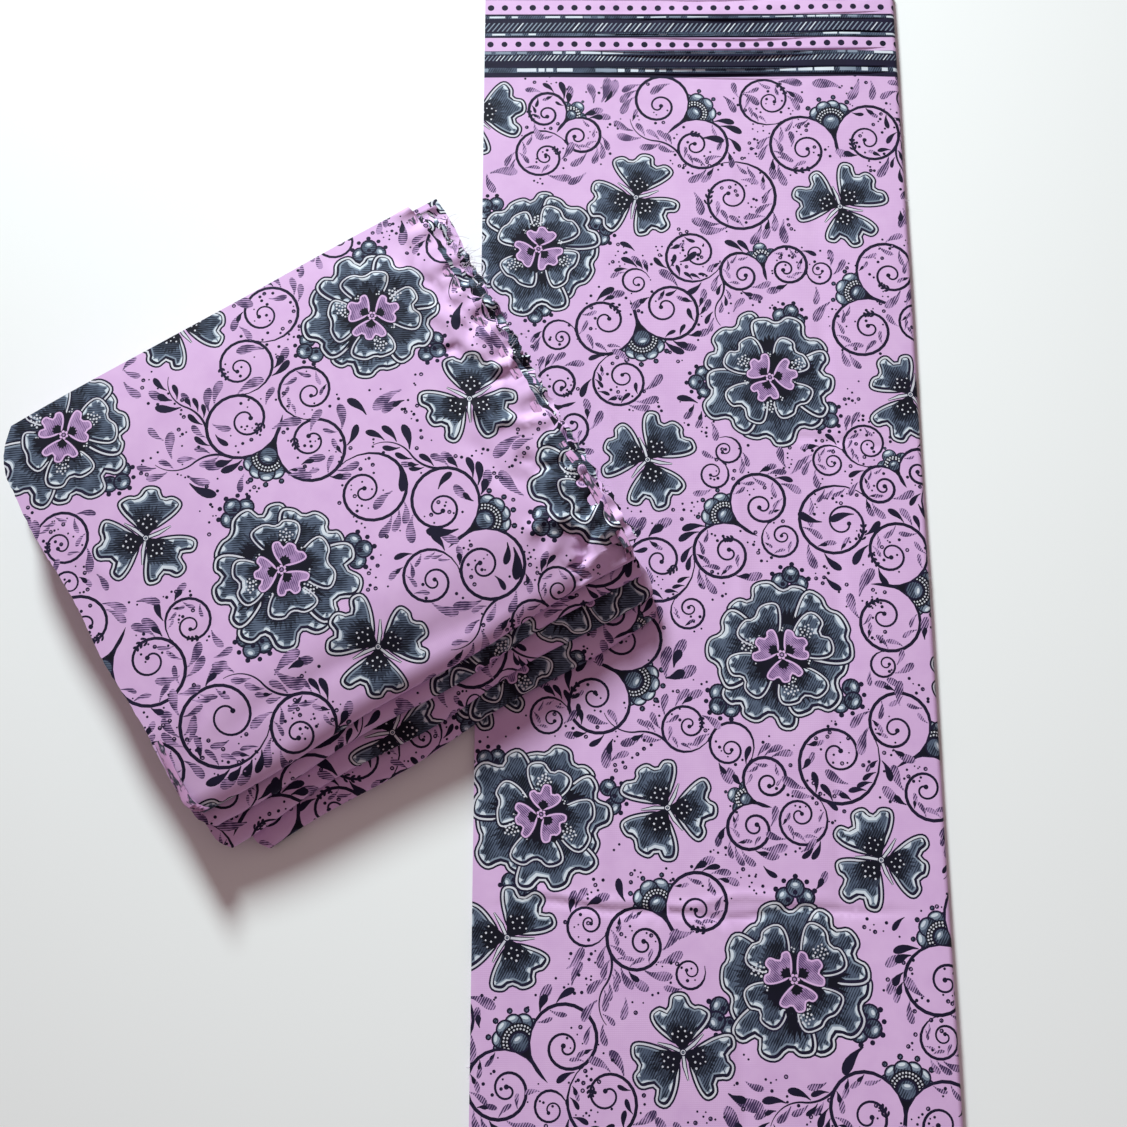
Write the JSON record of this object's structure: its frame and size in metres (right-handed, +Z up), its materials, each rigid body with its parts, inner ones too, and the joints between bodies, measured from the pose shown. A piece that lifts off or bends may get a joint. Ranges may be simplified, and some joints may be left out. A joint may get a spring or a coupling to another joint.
{
  "type": "ankara fabric",
  "caption": "Printed cotton cloth laid out flat from selvedge to selvedge, with a thick folded bundle of the same cloth lying across its side.",
  "frame": {"origin": "middle of the underside of the laid-out length, on the table", "axes": "+Y along the laid-out length towards the border that shows, +X across it away from the bundle, +Z up"},
  "size_m": [0.8064, 1.168, 0.0609],
  "materials": {
    "printed_cotton": "plain-weave cotton, printed, matt with a faint sheen",
    "cloth_edges": "edges of folded cotton plies, matt"
  },
  "bodies": {
    "root": {"laid_length_outer_ply": "printed_cotton", "laid_length_inner_plies": "cloth_edges", "bundle_bottom_fold_outer_ply": "printed_cotton", "bundle_bottom_fold_inner_plies": "cloth_edges", "bundle_third_fold_outer_ply": "printed_cotton", "bundle_third_fold_inner_plies": "cloth_edges", "bundle_second_fold_outer_ply": "printed_cotton", "bundle_second_fold_inner_plies": "cloth_edges", "bundle_top_fold_outer_ply": "printed_cotton", "bundle_top_fold_inner_plies": "cloth_edges"}
  },
  "joints": []
}
